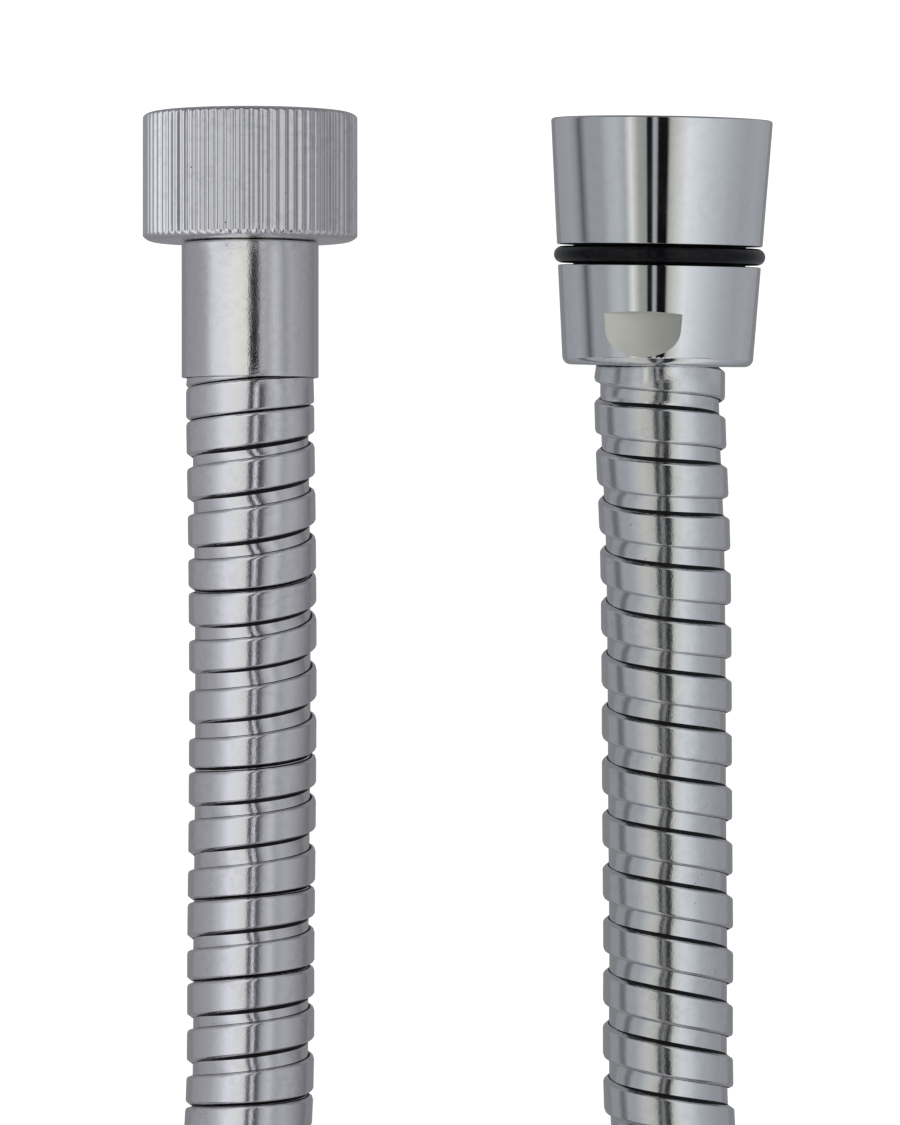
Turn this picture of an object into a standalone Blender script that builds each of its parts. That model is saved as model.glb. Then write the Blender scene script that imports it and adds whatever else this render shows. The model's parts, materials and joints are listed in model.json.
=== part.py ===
# A metal shower hose with a knurled nut on one end and a conical nut on the other.
# It lies on a floor at z = 0. Both ends lie side by side with their mouths towards +Y,
# and the rest of the hose is put away in a round coil behind them.
# Each end has its own frame: its z axis comes out of the nut's mouth, and z = 0 is the mouth's plane.
# Metres, +Z up.

import math

import bmesh
import bpy
from mathutils import Euler, Matrix, Vector

# Clearances
GAP = 0.0003
SWIVEL_CLEARANCE = 0.0004
O_RING_SIDE_GAP = 0.0002

# Hose: a wound metal armour round a rubber liner
HOSE_RADIUS = 0.0070
ARMOUR_WALL = 0.0013
LINER_WALL = 0.0014

# Half-inch pipe thread in both nuts, as its plain minor bore and its major radius at the mouth
THREAD_MINOR_RADIUS = 0.009315
THREAD_MAJOR_RADIUS = 0.01048
THREAD_LEAD_IN = 0.0011

# Knurled nut, its wall counted from the thread's major radius to the ridges
KNURLED_NUT_WALL = 0.001045
KNURL_DEPTH = 0.0003
KNURL_COUNT = 70
KNURL_FLAT_SHARE = 0.35
KNURLED_NUT_LENGTH = 0.0138
KNURLED_NUT_WEB = 0.0023
KNURLED_NUT_MOUTH_ROUND = 0.0011
KNURLED_NUT_BACK_ROUND = 0.0015

# Conical nut
CONE_MOUTH_RADIUS = 0.0119
CONE_BACK_RADIUS = 0.0102
CONE_LENGTH = 0.0264
CONE_MOUTH_ROUND = 0.0003
CONE_BACK_ROUND = 0.0014
CONE_SOCKET_DEPTH = 0.0102
CONE_WEB = 0.0023
FLAT_DISTANCE = 0.00968
FLAT_START = 0.0209
FLAT_STEP_SLOPE = math.radians(17)
FLAT_TURN = math.radians(-11.5)
FLAT_LEAN = math.radians(4.5)

# O-ring in the conical nut's groove
O_RING_RADIUS = 0.01135
O_RING_SECTION = 0.0018
O_RING_FROM_MOUTH = 0.0146

# Tail, washer and ferrule, alike in both ends
FLANGE_THICKNESS = 0.0016
WASHER_THICKNESS = 0.0020
WASHER_HOLE_RADIUS = 0.0055
NECK_RADIUS = 0.0060
SEAT_RADIUS = 0.0045
BARB_COUNT = 5
BARB_DEPTH = 0.0004
SPIGOT_LENGTH = 0.0115
WATERWAY_RADIUS = 0.0023
FUNNEL_RADIUS = 0.0040
FUNNEL_DEPTH = 0.0018
FERRULE_WALL = 0.00035
FERRULE_FRONT = 0.0008
KNURLED_FERRULE_LENGTH = 0.0143
CONICAL_FERRULE_LENGTH = 0.0130
FERRULE_ROUND = 0.0003

# How the ends lie
END_SPACING = 0.04417
CONICAL_SETBACK = 0.0007
CONICAL_YAW = math.radians(-0.95)
END_MARK_SIZE = 0.010

# Coil of the hose's hidden length: three strands in a round ring, two high and two wide
COIL_MEAN_RADIUS = 0.067
COIL_SECTION = 4 * HOSE_RADIUS
COIL_CORNER = 0.003
COIL_CENTRE = Vector((0.0, -0.1865, 0.0))

# Route of each leg from its ferrule to inside the coil's ring, chosen by hand
FLOOR_LIFT = 0.00003
LEG_HEIGHT = HOSE_RADIUS + FLOOR_LIFT
STRAIGHT_EXIT = 0.004
CRIMP_LEAD = 0.001
KNURLED_LEG_ROUTE = [
    (-0.0223, -0.0300, 0.01075),
    (-0.0223, -0.0450, 0.00870),
    (-0.0224, -0.0600, LEG_HEIGHT + 0.00035),
    (-0.0225, -0.0740, LEG_HEIGHT),
    (-0.0226, -0.0940, LEG_HEIGHT),
    (-0.0240, -0.1071, LEG_HEIGHT),
    (-0.0282, -0.1195, LEG_HEIGHT),
]
CONICAL_LEG_ROUTE = [
    (0.0218, -0.0290, 0.00985),
    (0.0221, -0.0450, 0.00815),
    (0.0224, -0.0600, LEG_HEIGHT + 0.0002),
    (0.0226, -0.0740, LEG_HEIGHT),
    (0.0229, -0.0940, LEG_HEIGHT),
    (0.0243, -0.1071, LEG_HEIGHT),
    (0.0285, -0.1194, LEG_HEIGHT),
]
LEG_POINT_SPACING = 0.010

# Facets
NUT_STEPS = 70
ROUND_STEPS = 48
TAIL_STEPS = 28
O_RING_STEPS = 48
COIL_STEPS = 64
ARC_POINTS = 3
O_RING_SIDES = 8
MERGE = 0.00001

# Sizes that follow from those above
KNURL_RADIUS = THREAD_MAJOR_RADIUS + KNURLED_NUT_WALL
FERRULE_RADIUS = HOSE_RADIUS + FERRULE_WALL
CRIMPED_RADIUS = HOSE_RADIUS - GAP
LINER_RADIUS = CRIMPED_RADIUS - ARMOUR_WALL - GAP
BARB_RADIUS = LINER_RADIUS - LINER_WALL - GAP
FLANGE_RADIUS = THREAD_MINOR_RADIUS - GAP
WEB_HOLE_RADIUS = NECK_RADIUS + SWIVEL_CLEARANCE
SKIRT_RADIUS = FERRULE_RADIUS + SWIVEL_CLEARANCE
KNURLED_SOCKET_DEPTH = KNURLED_NUT_LENGTH - KNURLED_NUT_WEB
O_RING_MEAN_RADIUS = O_RING_RADIUS - O_RING_SECTION / 2
GROOVE_RADIUS = O_RING_RADIUS - O_RING_SECTION - GAP
GROOVE_WIDTH = O_RING_SECTION + 2 * O_RING_SIDE_GAP


# Scene, materials and small helpers


def clear_scene():
    for obj in list(bpy.data.objects):
        bpy.data.objects.remove(obj, do_unlink=True)


def new_collection(name):
    collection = bpy.data.collections.new(name)
    bpy.context.scene.collection.children.link(collection)
    return collection


def new_material(name, colour, metallic, roughness):
    material = bpy.data.materials.new(name)
    material.use_nodes = True
    shader = material.node_tree.nodes["Principled BSDF"]
    shader.inputs["Base Color"].default_value = (*colour, 1.0)
    shader.inputs["Metallic"].default_value = metallic
    shader.inputs["Roughness"].default_value = roughness
    return material


def place(obj, collection, parent=None, material=None):
    collection.objects.link(obj)
    obj.parent = parent
    if material:
        obj.data.materials.append(material)
    return obj


def as_cutter(obj, collection, parent=None):
    place(obj, collection, parent)
    obj.hide_render = True
    obj.display_type = "WIRE"
    return obj


def add_boolean(obj, cutter, operation):
    modifier = obj.modifiers.new(cutter.name, "BOOLEAN")
    modifier.operation = operation
    modifier.solver = "EXACT"
    modifier.object = cutter


def mesh_from_curve(curve_object, name):
    """The curve's evaluated shape as a mesh object, with its caps welded on."""
    bpy.context.scene.collection.objects.link(curve_object)
    bpy.context.view_layer.update()
    graph = bpy.context.evaluated_depsgraph_get()
    mesh = bpy.data.meshes.new_from_object(curve_object.evaluated_get(graph))
    matrix = curve_object.matrix_world.copy()
    bpy.data.objects.remove(curve_object, do_unlink=True)
    mesh.name = name
    made = bpy.data.objects.new(name, mesh)
    made.matrix_world = matrix
    bm = bmesh.new()
    bm.from_mesh(mesh)
    bmesh.ops.remove_doubles(bm, verts=bm.verts, dist=MERGE)
    bmesh.ops.recalc_face_normals(bm, faces=bm.faces)
    bm.to_mesh(mesh)
    bm.free()
    return made


# Turned pieces


def rounded(corners):
    """Profile points from corners of (radius, height, rounding): each rounding becomes an arc."""
    points = []
    for index, (radius, height, rounding) in enumerate(corners):
        corner = Vector((radius, height))
        if rounding == 0:
            points.append(corner)
            continue
        before = Vector(corners[index - 1][:2]) - corner
        after = Vector(corners[(index + 1) % len(corners)][:2]) - corner
        before.normalize()
        after.normalize()
        half_angle = before.angle(after) / 2
        reach = rounding / math.tan(half_angle)
        centre = corner + (before + after).normalized() * rounding / math.sin(half_angle)
        first = corner + before * reach - centre
        turn = first.angle_signed(corner + after * reach - centre)
        for step in range(ARC_POINTS + 1):
            points.append(centre + Matrix.Rotation(-turn * step / ARC_POINTS, 2) @ first)
    return points


def turned(name, corners, steps):
    """A ring turned about z. Its profile runs down the outer side and back up the bore."""
    points = rounded(corners)
    mesh = bpy.data.meshes.new(name)
    loop = [(index, (index + 1) % len(points)) for index in range(len(points))]
    mesh.from_pydata([(point.x, 0.0, point.y) for point in points], loop, [])
    obj = bpy.data.objects.new(name, mesh)
    screw = obj.modifiers.new("turn", "SCREW")
    screw.axis = "Z"
    screw.angle = math.tau
    screw.steps = steps
    screw.render_steps = steps
    screw.use_merge_vertices = True
    screw.merge_threshold = MERGE
    return obj


def even_shading(obj):
    obj.modifiers.new("shading", "WEIGHTED_NORMAL")


def flat_outline(name, points, thickness):
    """A closed flat outline in the object's xy plane, thickened evenly both ways, as a mesh object."""
    curve = bpy.data.curves.new(name, "CURVE")
    curve.dimensions = "2D"
    curve.fill_mode = "BOTH"
    curve.extrude = thickness / 2
    spline = curve.splines.new("POLY")
    spline.points.add(len(points) - 1)
    for target, (x, y) in zip(spline.points, points):
        target.co = (x, y, 0.0, 1.0)
    spline.use_cyclic_u = True
    return mesh_from_curve(bpy.data.objects.new(name, curve), name)


# Nuts


def socket_corners(depth, web_back, back_radius, back_height):
    """The nut's inside, from its back face up to its mouth: skirt or plain back, web hole, thread bore."""
    return [
        (back_radius, back_height, 0),
        (back_radius, -web_back, 0),
        (WEB_HOLE_RADIUS, -web_back, 0),
        (WEB_HOLE_RADIUS, -depth, 0),
        (THREAD_MINOR_RADIUS, -depth, 0),
        (THREAD_MINOR_RADIUS, -THREAD_LEAD_IN, 0),
        (THREAD_MAJOR_RADIUS, 0, 0),
    ]


def knurl_outline():
    """Straight knurl round the bar: a root point and the two edges of a narrow flat for each ridge."""
    points = []
    pitch = math.tau / KNURL_COUNT
    for ridge in range(KNURL_COUNT):
        for share, radius in (
            (0.0, KNURL_RADIUS - KNURL_DEPTH),
            (0.5 - KNURL_FLAT_SHARE / 2, KNURL_RADIUS),
            (0.5 + KNURL_FLAT_SHARE / 2, KNURL_RADIUS),
        ):
            angle = pitch * (ridge + share)
            points.append((radius * math.cos(angle), radius * math.sin(angle)))
    return points


def make_knurled_nut(parts, cutters, end, material):
    """The nut's turned blank, kept only where knurled bar stock had metal."""
    blank_radius = KNURL_RADIUS + GAP
    outside = [
        (blank_radius, 0, KNURLED_NUT_MOUTH_ROUND),
        (blank_radius, -KNURLED_NUT_LENGTH, KNURLED_NUT_BACK_ROUND),
    ]
    inside = socket_corners(
        KNURLED_SOCKET_DEPTH, KNURLED_NUT_LENGTH, WEB_HOLE_RADIUS, -KNURLED_NUT_LENGTH
    )
    nut = turned("knurled_nut", outside + inside[2:], NUT_STEPS)
    place(nut, parts, end, material)
    bar = flat_outline("knurled_bar", knurl_outline(), 3 * KNURLED_NUT_LENGTH)
    add_boolean(nut, as_cutter(bar, cutters, end), "INTERSECT")
    even_shading(nut)


def cone_radius(from_mouth):
    return CONE_MOUTH_RADIUS + (CONE_BACK_RADIUS - CONE_MOUTH_RADIUS) * from_mouth / CONE_LENGTH


def make_conical_nut(parts, cutters, end, material):
    """A conical nut with an O-ring groove, a skirt over the ferrule and two wrench flats."""
    groove_top = O_RING_FROM_MOUTH - GROOVE_WIDTH / 2
    groove_bottom = O_RING_FROM_MOUTH + GROOVE_WIDTH / 2
    outside = [
        (CONE_MOUTH_RADIUS, 0, CONE_MOUTH_ROUND),
        (cone_radius(groove_top), -groove_top, 0),
        (GROOVE_RADIUS, -groove_top, 0),
        (GROOVE_RADIUS, -groove_bottom, 0),
        (cone_radius(groove_bottom), -groove_bottom, 0),
        (CONE_BACK_RADIUS, -CONE_LENGTH, CONE_BACK_ROUND),
    ]
    inside = socket_corners(
        CONE_SOCKET_DEPTH, CONE_SOCKET_DEPTH + CONE_WEB, SKIRT_RADIUS, -CONE_LENGTH
    )
    nut = turned("conical_nut", outside + inside, NUT_STEPS)
    place(nut, parts, end, material)
    for side, name in enumerate(("front_flat", "back_flat")):
        cutter = flat_cutter(name)
        cutter.rotation_euler = Euler((math.radians(90), 0, FLAT_TURN + side * math.pi - math.radians(90)))
        add_boolean(nut, as_cutter(cutter, cutters, end), "DIFFERENCE")
    even_shading(nut)


def flat_cutter(name):
    """What a mill takes off for one wrench flat that rises to the back, below a sloping upper step."""
    reach = CONE_MOUTH_RADIUS
    back = CONE_LENGTH + CONE_BACK_ROUND
    outline = [
        (FLAT_DISTANCE + (back - FLAT_START) * math.tan(FLAT_LEAN), -back),
        (FLAT_DISTANCE + reach, -back),
        (FLAT_DISTANCE + reach, -FLAT_START + reach * math.tan(FLAT_STEP_SLOPE)),
        (FLAT_DISTANCE, -FLAT_START),
    ]
    return flat_outline(name, outline, 2 * CONE_MOUTH_RADIUS)


def make_o_ring(parts, end, material):
    section = [
        (
            O_RING_MEAN_RADIUS + O_RING_SECTION / 2 * math.cos(math.tau * side / O_RING_SIDES),
            -O_RING_FROM_MOUTH - O_RING_SECTION / 2 * math.sin(math.tau * side / O_RING_SIDES),
            0,
        )
        for side in range(O_RING_SIDES)
    ]
    place(turned("conical_nut_o_ring", section, O_RING_STEPS), parts, end, material)


# Tail, washer and ferrule of one end, from the depth of the nut's socket and the back of its web


def make_tail(name, socket_depth, web_back, parts, end, material):
    """The brass insert: a flange inside the nut, a neck that the nut turns on, a barbed spigot in the liner."""
    flange_back = socket_depth - GAP
    flange_front = flange_back - FLANGE_THICKNESS
    spigot_start = web_back + GAP + FERRULE_FRONT + GAP
    barb_pitch = SPIGOT_LENGTH / BARB_COUNT
    corners = [
        (FLANGE_RADIUS, -flange_front, 0),
        (FLANGE_RADIUS, -flange_back, 0),
        (NECK_RADIUS, -flange_back, 0),
        (NECK_RADIUS, -web_back, 0),
        (SEAT_RADIUS, -web_back, 0),
        (SEAT_RADIUS, -spigot_start, 0),
    ]
    for barb in range(BARB_COUNT):
        top = spigot_start + barb * barb_pitch
        corners.append((BARB_RADIUS - BARB_DEPTH, -top, 0))
        corners.append((BARB_RADIUS, -top - barb_pitch / 4, 0))
    corners += [
        (BARB_RADIUS - BARB_DEPTH, -spigot_start - SPIGOT_LENGTH, 0),
        (WATERWAY_RADIUS, -spigot_start - SPIGOT_LENGTH, 0),
        (WATERWAY_RADIUS, -flange_front - FUNNEL_DEPTH, 0),
        (FUNNEL_RADIUS, -flange_front, 0),
    ]
    tail = turned(name, corners, TAIL_STEPS)
    place(tail, parts, end, material)
    even_shading(tail)


def make_washer(name, socket_depth, parts, end, material):
    back = socket_depth - GAP - FLANGE_THICKNESS - GAP
    front = back - WASHER_THICKNESS
    radius = THREAD_MINOR_RADIUS - GAP
    corners = [
        (radius, -front, 0),
        (radius, -back, 0),
        (WASHER_HOLE_RADIUS, -back, 0),
        (WASHER_HOLE_RADIUS, -front, 0),
    ]
    washer = turned(name, corners, ROUND_STEPS)
    place(washer, parts, end, material)
    even_shading(washer)


def make_ferrule(name, web_back, length, parts, end, material):
    """A thin drawn cap over the crimped end of the armour, its front wall behind the tail's neck."""
    front = web_back + GAP
    back = front + length
    corners = [
        (FERRULE_RADIUS, -front, FERRULE_ROUND),
        (FERRULE_RADIUS, -back, 0),
        (HOSE_RADIUS, -back, 0),
        (HOSE_RADIUS, -front - FERRULE_FRONT, 0),
        (SEAT_RADIUS + GAP, -front - FERRULE_FRONT, 0),
        (SEAT_RADIUS + GAP, -front, 0),
    ]
    ferrule = turned(name, corners, ROUND_STEPS)
    place(ferrule, parts, end, material)
    even_shading(ferrule)


# Frames of the two ends: where they lie on the floor


def conical_rest():
    """The conical nut's tilt and its mouth's height when it rests on its mouth's edge and its O-ring."""
    drop = CONE_MOUTH_RADIUS - O_RING_RADIUS
    tilt = math.atan2(drop, O_RING_FROM_MOUTH - CONE_MOUTH_ROUND)
    height = CONE_MOUTH_RADIUS * math.cos(tilt) + CONE_MOUTH_ROUND * math.sin(tilt)
    return tilt, height


def new_end(name, location, tilt, yaw, collection):
    end = bpy.data.objects.new(name, None)
    end.empty_display_size = END_MARK_SIZE
    end.location = location
    end.rotation_euler = Euler((math.radians(-90) + tilt, 0, yaw))
    collection.objects.link(end)
    bpy.context.view_layer.update()
    return end


# Hose


def smooth_route(points, spacing):
    """Points about a spacing apart on the centripetal curve through the given ones."""
    ends = [points[0] * 2 - points[1], *points, points[-1] * 2 - points[-2]]
    route = []
    for p0, p1, p2, p3 in zip(ends, ends[1:], ends[2:], ends[3:]):
        t1 = (p1 - p0).length ** 0.5
        t2 = t1 + (p2 - p1).length ** 0.5
        t3 = t2 + (p3 - p2).length ** 0.5
        count = max(1, round((p2 - p1).length / spacing))
        for step in range(count):
            t = t1 + (t2 - t1) * step / count
            a1 = p0.lerp(p1, t / t1)
            a2 = p1.lerp(p2, (t - t1) / (t2 - t1))
            a3 = p2.lerp(p3, (t - t2) / (t3 - t2))
            b1 = a1.lerp(a2, t / t2)
            b2 = a2.lerp(a3, (t - t1) / (t3 - t1))
            route.append(b1.lerp(b2, (t - t1) / (t2 - t1)))
    return [*route, points[-1]]


def leg_points(end, ferrule_front, ferrule_back, hand_points):
    """The leg's centre line, with the share of its full radius at each point: the end is crimped."""
    start, crimp_end, full, free = (
        end.matrix_world @ Vector((0, 0, -depth))
        for depth in (
            ferrule_front + FERRULE_FRONT + GAP,
            ferrule_back,
            ferrule_back + CRIMP_LEAD,
            ferrule_back + STRAIGHT_EXIT,
        )
    )
    free_route = smooth_route([full, free, *map(Vector, hand_points)], LEG_POINT_SPACING)
    return [(start, True), (crimp_end, True)] + [(point, False) for point in free_route]


def hose_tube(name, points, radius, crimped_radius, wall, coil_room, parts, material):
    """A pipe along the points that stops short of the coil's ring."""
    curve = bpy.data.curves.new(name, "CURVE")
    curve.dimensions = "3D"
    curve.bevel_depth = radius
    curve.bevel_resolution = 4
    spline = curve.splines.new("POLY")
    spline.points.add(len(points) - 1)
    for target, (point, crimped) in zip(spline.points, points):
        target.co = (*point, 1.0)
        target.radius = crimped_radius / radius if crimped else 1.0
    tube = mesh_from_curve(bpy.data.objects.new(name, curve), name)
    place(tube, parts, None, material)
    shell = tube.modifiers.new("wall", "SOLIDIFY")
    shell.thickness = wall
    shell.offset = -1
    add_boolean(tube, coil_room, "DIFFERENCE")
    even_shading(tube)


def make_leg(name, end, ferrule_front, ferrule_back, hand_points, coil_room, parts, metal, rubber):
    points = leg_points(end, ferrule_front, ferrule_back, hand_points)
    hose_tube(
        name + "_armour", points, HOSE_RADIUS, CRIMPED_RADIUS, ARMOUR_WALL, coil_room, parts, metal
    )
    hose_tube(
        name + "_liner", points, LINER_RADIUS, LINER_RADIUS, LINER_WALL, coil_room, parts, rubber
    )


def make_coil(parts, cutters, material):
    """The ring that the coiled hose fills, and the room round it where the legs stop."""
    inner = COIL_MEAN_RADIUS - COIL_SECTION / 2
    outer = COIL_MEAN_RADIUS + COIL_SECTION / 2
    corners = [
        (outer, COIL_SECTION, COIL_CORNER),
        (outer, FLOOR_LIFT, COIL_CORNER),
        (inner, FLOOR_LIFT, COIL_CORNER),
        (inner, COIL_SECTION, COIL_CORNER),
    ]
    coil = turned("hose_coil", corners, COIL_STEPS)
    place(coil, parts, None, material)
    coil.location = COIL_CENTRE
    even_shading(coil)
    bpy.ops.mesh.primitive_cylinder_add(
        vertices=2 * COIL_STEPS, radius=outer + GAP, depth=2 * COIL_SECTION, location=COIL_CENTRE
    )
    room = bpy.context.object
    room.name = "coil_room"
    for holder in list(room.users_collection):
        holder.objects.unlink(room)
    return as_cutter(room, cutters)


def main():
    clear_scene()
    parts = new_collection("shower_hose")
    cutters = new_collection("shower_hose_cutters")
    polished = new_material("polished_chrome", (0.78, 0.79, 0.81), 1.0, 0.08)
    satin = new_material("satin_chrome", (0.70, 0.71, 0.73), 1.0, 0.22)
    brass = new_material("brass", (0.78, 0.62, 0.30), 1.0, 0.30)
    black_rubber = new_material("black_rubber", (0.012, 0.012, 0.013), 0.0, 0.35)
    liner_rubber = new_material("liner_rubber", (0.05, 0.05, 0.055), 0.0, 0.55)

    tilt, mouth_height = conical_rest()
    knurled_length = KNURLED_NUT_LENGTH + GAP + KNURLED_FERRULE_LENGTH
    conical_x = (END_SPACING + KNURL_RADIUS - CONE_MOUTH_RADIUS) / 2
    knurled_at = Vector((conical_x - END_SPACING, knurled_length / 2, KNURL_RADIUS))
    conical_at = Vector((conical_x, knurled_at.y - CONICAL_SETBACK, mouth_height))
    knurled_end = new_end("knurled_end", knurled_at, 0.0, 0.0, parts)
    conical_end = new_end("conical_end", conical_at, tilt, CONICAL_YAW, parts)

    make_knurled_nut(parts, cutters, knurled_end, satin)
    make_conical_nut(parts, cutters, conical_end, polished)
    make_o_ring(parts, conical_end, black_rubber)
    coil_room = make_coil(parts, cutters, polished)
    for name, end, depth, web_back, length, route in (
        (
            "knurled",
            knurled_end,
            KNURLED_SOCKET_DEPTH,
            KNURLED_NUT_LENGTH,
            KNURLED_FERRULE_LENGTH,
            KNURLED_LEG_ROUTE,
        ),
        (
            "conical",
            conical_end,
            CONE_SOCKET_DEPTH,
            CONE_SOCKET_DEPTH + CONE_WEB,
            CONICAL_FERRULE_LENGTH,
            CONICAL_LEG_ROUTE,
        ),
    ):
        ferrule_front = web_back + GAP
        ferrule_back = ferrule_front + length
        make_washer(name + "_end_washer", depth, parts, end, black_rubber)
        make_tail(name + "_end_tail", depth, web_back, parts, end, brass)
        make_ferrule(name + "_end_ferrule", web_back, length, parts, end, polished)
        make_leg(
            name + "_leg",
            end,
            ferrule_front,
            ferrule_back,
            route,
            coil_room,
            parts,
            polished,
            liner_rubber,
        )


main()
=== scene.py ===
import json
import math
import random

import bmesh
import bpy
from mathutils import Matrix, Vector


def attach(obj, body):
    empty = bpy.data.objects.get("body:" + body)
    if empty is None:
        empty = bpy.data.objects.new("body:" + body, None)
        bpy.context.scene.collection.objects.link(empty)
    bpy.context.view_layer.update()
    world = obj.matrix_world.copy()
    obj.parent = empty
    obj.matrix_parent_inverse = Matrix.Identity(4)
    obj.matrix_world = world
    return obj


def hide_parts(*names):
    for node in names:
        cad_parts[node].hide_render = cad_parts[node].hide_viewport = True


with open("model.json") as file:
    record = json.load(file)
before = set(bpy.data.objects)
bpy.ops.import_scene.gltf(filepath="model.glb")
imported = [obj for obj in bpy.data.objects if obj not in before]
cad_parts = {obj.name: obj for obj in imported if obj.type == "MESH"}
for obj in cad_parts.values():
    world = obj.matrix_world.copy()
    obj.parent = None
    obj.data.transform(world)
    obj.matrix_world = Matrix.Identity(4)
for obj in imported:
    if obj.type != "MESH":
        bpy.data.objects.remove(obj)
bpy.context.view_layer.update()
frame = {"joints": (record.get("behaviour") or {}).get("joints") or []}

# A chrome shower hose: a knurled nut on one end, a conical nut on the other.
# Metres throughout. Each end has its own space: z comes out of the nut's mouth, z = 0 is the mouth.


def smoothStep(x):
    x = min(max(x, 0.0), 1.0)
    return x * x * (3 - 2 * x)


def newMesh(name, bm):
    mesh = bpy.data.meshes.new(name)
    bm.to_mesh(mesh)
    bm.free()
    return mesh


def addObject(name, data):
    added = bpy.data.objects.new(name, data)
    bpy.context.scene.collection.objects.link(added)
    return added


# Camera, straight above as in the photograph

cameraValues = {
    "place": (-0.00083, -0.0340, 0.650),
    "focalPixels": 5951,
    "imageWidth": 900,
    "sensorWidth": 36.0,
    "clip": (0.01, 10.0),
}


def makeCamera(values):
    data = bpy.data.cameras.new("camera")
    data.sensor_fit = "HORIZONTAL"
    data.sensor_width = values["sensorWidth"]
    data.lens = values["sensorWidth"] * values["focalPixels"] / values["imageWidth"]
    data.clip_start, data.clip_end = values["clip"]
    camera = addObject("camera", data)
    camera.location = values["place"]
    bpy.context.scene.camera = camera


makeCamera(cameraValues)
print("camera set")


# Node helpers


def addNode(tree, kind, inputs=None, **settings):
    node = tree.nodes.new("ShaderNode" + kind)
    for name, value in settings.items():
        setattr(node, name, value)
    for name, value in (inputs or {}).items():
        if isinstance(value, bpy.types.NodeSocket):
            tree.links.new(value, node.inputs[name])
        else:
            node.inputs[name].default_value = value
    return node


def addMath(tree, operation, first, second):
    return addNode(tree, "Math", {0: first, 1: second}, operation=operation).outputs[0]


def addRamp(tree, factor, stops):
    node = addNode(tree, "ValToRGB", {"Fac": factor})
    ramp = node.color_ramp
    ramp.elements.remove(ramp.elements[1])
    for index, (place, colour) in enumerate(stops):
        element = ramp.elements[0] if index == 0 else ramp.elements.new(place)
        element.position = place
        element.color = (*colour, 1.0)
    return node.outputs["Color"]


def addRange(tree, value, ends, results=(0.0, 1.0), interpolation="LINEAR"):
    names = ("Value", "From Min", "From Max", "To Min", "To Max")
    inputs = dict(zip(names, (value, *ends, *results)))
    return addNode(tree, "MapRange", inputs, interpolation_type=interpolation).outputs["Result"]


def newMaterial(name):
    material = bpy.data.materials.new(name)
    material.use_nodes = True
    tree = material.node_tree
    tree.nodes.clear()
    return material, tree


# Light: a white room, and over each end of the hose light tents that only reflections see

roomValues = {
    "floorSize": 3.0,
    "floorGlow": 0.80,
    "floorWhite": 0.50,
    "floorInReflections": 0.26,
    "floorBlue": 1.06,
    # What metal outside the tents mirrors: (share of the way from straight down to straight up, brightness)
    "sky": [
        (0.0, 0.20), (0.47, 0.22), (0.50, 0.05), (0.60, 0.07), (0.72, 0.14), (0.84, 0.40), (1.0, 0.85),
    ],
    "skyBlue": 1.03,
}


def splitForMirrors(tree, seen, mirrored):
    # One shader for plain sight and another for reflections
    ray = addNode(tree, "LightPath").outputs["Is Glossy Ray"]
    return addNode(tree, "MixShader", {0: ray, 1: seen.outputs[0], 2: mirrored.outputs[0]}).outputs[0]


def makeWorld(values):
    world = bpy.data.worlds.new("studio")
    bpy.context.scene.world = world
    world.use_nodes = True
    tree = world.node_tree
    tree.nodes.clear()
    direction = addNode(tree, "TexCoord").outputs["Generated"]
    height = addNode(tree, "SeparateXYZ", {0: direction}).outputs["Z"]
    stops = [(where, (level, level, level * values["skyBlue"])) for where, level in values["sky"]]
    sky = addRamp(tree, addRange(tree, height, (-1.0, 1.0)), stops)
    mirrored = addNode(tree, "Background", {"Color": sky})
    white = addNode(tree, "Background", {"Color": (1, 1, 1, 1)})
    addNode(tree, "OutputWorld", {"Surface": splitForMirrors(tree, white, mirrored)})


def makeFloor(values):
    bm = bmesh.new()
    bmesh.ops.create_grid(bm, x_segments=1, y_segments=1, size=values["floorSize"] / 2)
    mesh = newMesh("floor", bm)
    material, tree = newMaterial("floor_white")
    glow = addNode(tree, "Emission", {"Strength": values["floorGlow"]})
    white = (*[values["floorWhite"]] * 3, 1)
    matt = addNode(tree, "BsdfDiffuse", {"Color": white})
    seen = addNode(tree, "AddShader", {0: glow.outputs[0], 1: matt.outputs[0]})
    level = values["floorInReflections"]
    mirrored = addNode(tree, "Emission", {"Color": (level, level, level * values["floorBlue"], 1)})
    addNode(tree, "OutputMaterial", {"Surface": splitForMirrors(tree, seen, mirrored)})
    mesh.materials.append(material)
    addObject("floor", mesh)


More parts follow.
